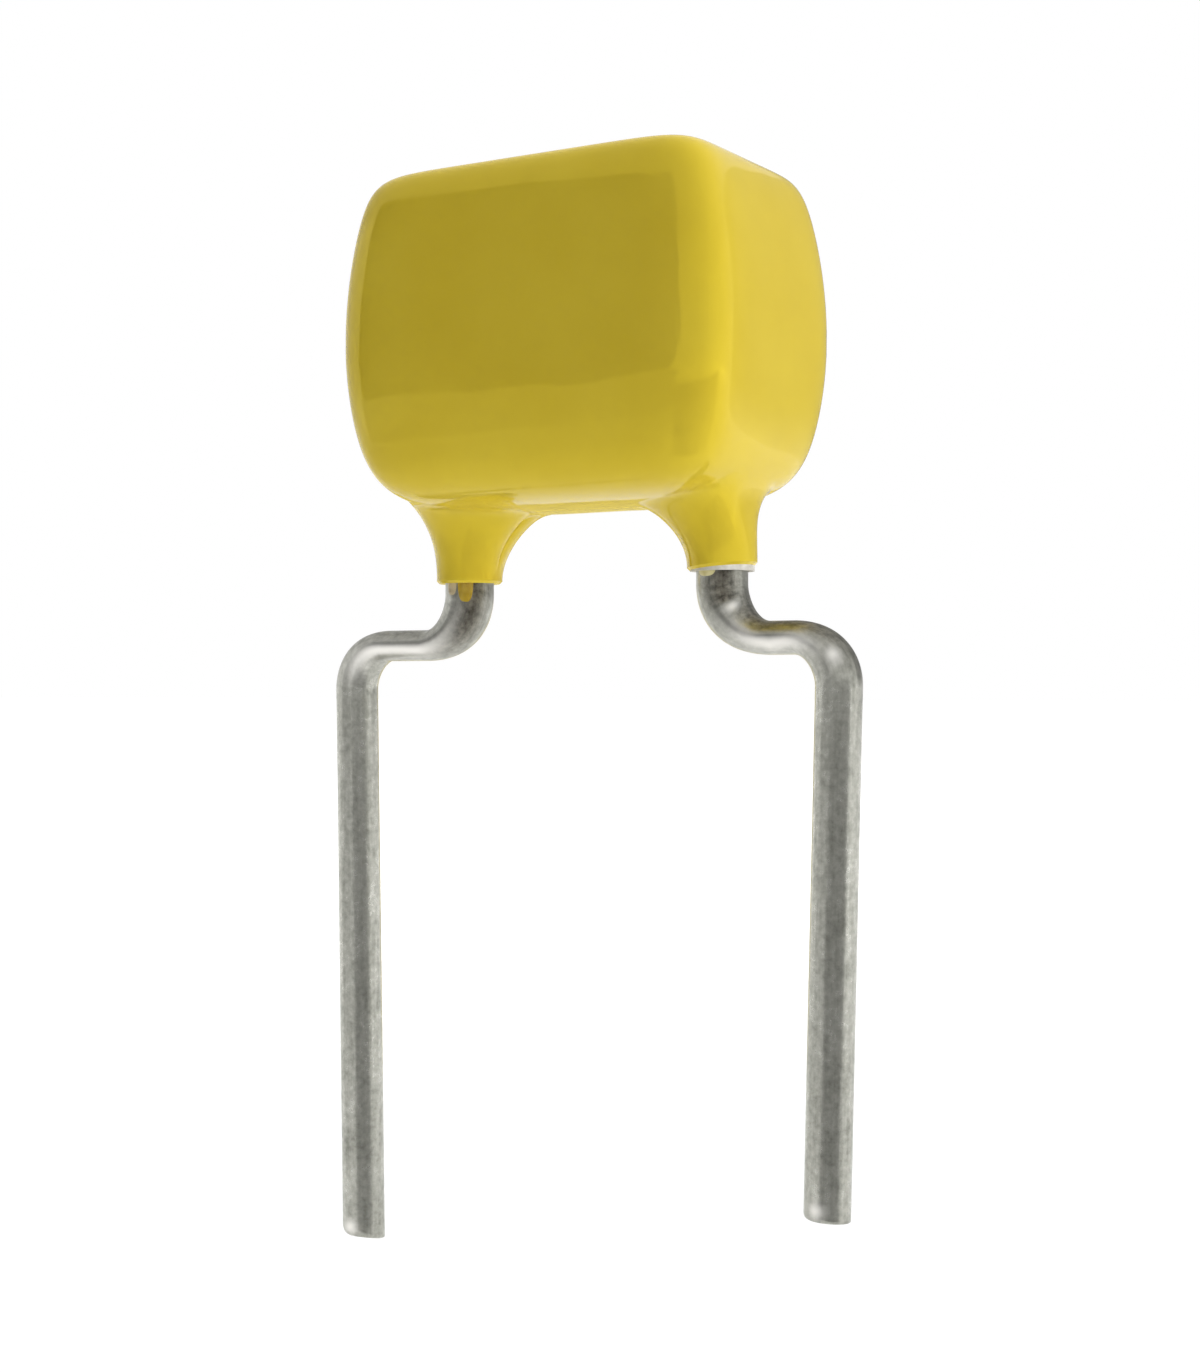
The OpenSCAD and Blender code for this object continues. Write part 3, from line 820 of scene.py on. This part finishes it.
world = bpy.data.worlds.new("white_surround")
world.use_nodes = True
world.node_tree.nodes.clear()
bpy.context.scene.world = world
sky = world.node_tree
strength = add(sky, "ShaderNodeMapRange", Value=seen_directly(sky), To_Min=SURROUND_FILL)
surround = add(sky, "ShaderNodeBackground", Color=linear("#FFFFFF"), Strength=strength.outputs["Result"])
add(sky, "ShaderNodeOutputWorld", Surface=surround.outputs["Background"])
print("surround gives", SURROUND_FILL, "of white")

# %% Lamps
LIT_POINT = np.array([0.0, 0.0, 2.0])


def toward(azimuth, elevation):
    """Direction from the part, with azimuth 0 towards the camera, growing to its right, in degrees."""
    a = CAMERA_AZIMUTH + np.radians(azimuth)
    e = np.radians(elevation)
    return np.array([np.sin(a) * np.cos(e), -np.cos(a) * np.cos(e), np.sin(e)])


def soft_box(name, azimuth, elevation, distance, size, share):
    """Square lamp that faces the part and gives a surface facing it this share of full white.

    Its power is that share times the square of pi times the distance.
    """
    data = bpy.data.lights.new(name, "AREA")
    data.shape = "SQUARE"
    data.size = size * MM
    data.energy = share * (np.pi * distance * MM) ** 2
    lamp = bpy.data.objects.new(name, data)
    lamp.location = (LIT_POINT + toward(azimuth, elevation) * distance) * MM
    lamp.rotation_euler = (np.pi / 2 - np.radians(elevation), 0, CAMERA_AZIMUTH + np.radians(azimuth))
    lamp.visible_glossy = False
    bpy.context.scene.collection.objects.link(lamp)
    print(name, "gives", share, "of white")


soft_box("right_soft_box", azimuth=52, elevation=5, distance=110, size=120, share=1.08)
soft_box("top_soft_box", azimuth=180, elevation=70, distance=120, size=140, share=1.42)

# %% [markdown]
# ## Cards
# A glossy thing in a white room looks flat, so a studio sets up cards that only show as reflections. A
# dark one at the left of the lens gives the block its dark window, with a greyer strip beside it. The
# lens itself is a dark thing close in front of the wires, and gives them their dark middle line. The
# grey ceiling and the grey cards at the left and behind calm the other reflections, and a cream one low
# behind the part keeps those of the underside warm. The camera doesn't see the cards, and they stop
# no light.

# %% Card that only shows in reflections
# The cards stand round a spot below the middle of the block's front, and the lowest just clear the floor.
CARD_FOOT = np.array([0.2, -1.1, 0.0])
FLOOR_GAP = 0.02
card_low = floor_z + FLOOR_GAP


def reflected_card(name, corners, *colours):
    """Card seen only in reflections, through corners given as azimuth, distance away and height.

    It has one colour, or one for each corner, between which it shades.
    """
    material, tree = new_material(name)
    shade = add(tree, "ShaderNodeAttribute", {"attribute_name": "shade"})
    light = add(tree, "ShaderNodeEmission", Color=shade.outputs["Color"])
    add(tree, "ShaderNodeOutputMaterial", Surface=light.outputs["Emission"])
    spots = [CARD_FOOT + away * toward(azimuth, 0) + [0, 0, height] for azimuth, away, height in corners]
    card = flat_card(name, spots, material)
    shades = np.resize([linear(colour) for colour in colours], (len(corners), 4))
    card.data.attributes.new("shade", "FLOAT_COLOR", "POINT").data.foreach_set("color", shades.ravel())
    card.visible_camera = card.visible_diffuse = card.visible_shadow = card.visible_transmission = False
    print(name, "is", *colours)


def upright(azimuths, distance, low, high):
    """Corners of an upright card between two azimuths and two heights."""
    left, right = azimuths
    return [(left, distance, low), (right, distance, low), (right, distance, high), (left, distance, high)]


# %% Cards on the left
WINDOW_AWAY, WINDOW_LOW, WINDOW_HIGH, WINDOW_SIDES = 25, 1.9, 17, (-92, -52)
LEFT_AWAY, LEFT_SPLIT, MIDDLE_SIDES, LOW_SIDES = 24, -2.4, (-95, -42), (-110, -42)
# Azimuth and height of the greyer strip's corners, of which the lower right one is rounded.
STRIP = [(-52, WINDOW_LOW), (-47, 2.0), (-42, 3.2), (-40, 5.4), (-39, 19), (-52, 18)]

strip = [(azimuth, WINDOW_AWAY, height) for azimuth, height in STRIP]
reflected_card("window_card", upright(WINDOW_SIDES, WINDOW_AWAY, WINDOW_LOW, WINDOW_HIGH), "#3C3C3C")
reflected_card("window_edge_card", strip, "#5C5C5C")
reflected_card("left_middle_card", upright(MIDDLE_SIDES, LEFT_AWAY, LEFT_SPLIT, WINDOW_LOW), "#CCCCCC")
reflected_card("left_low_card", upright(LOW_SIDES, LEFT_AWAY, card_low, LEFT_SPLIT), "#E8E8E8")

# %% Lens and its shade on the floor
LENS_AWAY, LENS_HIGH, LENS_SIDES = 15, 0.7, (-40, 55)
SHADE_FAR, SHADE_NEAR, SHADE_SPREAD = 14.9, 9, 5

left, right = LENS_SIDES
lens_shade = [(left, SHADE_FAR, card_low), (right, SHADE_FAR, card_low),
              (right + SHADE_SPREAD, SHADE_NEAR, card_low), (left - SHADE_SPREAD, SHADE_NEAR, card_low)]
reflected_card("lens_card", upright(LENS_SIDES, LENS_AWAY, card_low, LENS_HIGH), "#A8A8A8")
reflected_card("lens_shade_card", lens_shade, "#A8A8A8")

# %% Ceiling and cards behind
CEILING_AWAY, CEILING_HIGH = 370, 120
BACK_AWAY, BACK_SIDES, BACK_LOW, BACK_HIGH, FADE_LOW = 20, (95, 165), 1.9, 13, -1
UNDER_AWAY, UNDER_SIDES, UNDER_HIGH = 30, (160, 200), 1.0
WHITE, BACK_GREY = "#FFFFFF", "#A4A4A4"

ceiling = [(azimuth, CEILING_AWAY, CEILING_HIGH) for azimuth in (45, 135, 225, 315)]
back_fade = upright(BACK_SIDES, BACK_AWAY, FADE_LOW, BACK_LOW)
reflected_card("ceiling_card", ceiling, "#DCDCDC")
reflected_card("back_card", upright(BACK_SIDES, BACK_AWAY, BACK_LOW, BACK_HIGH), BACK_GREY)
reflected_card("back_fade_card", back_fade, WHITE, WHITE, BACK_GREY, BACK_GREY)
reflected_card("under_card", upright(UNDER_SIDES, UNDER_AWAY, card_low, UNDER_HIGH), "#EAD98C")

# %% [markdown]
# ## Finish
# Colours show as they were written under the Standard view.

# %% View
bpy.context.scene.view_settings.view_transform = "Standard"
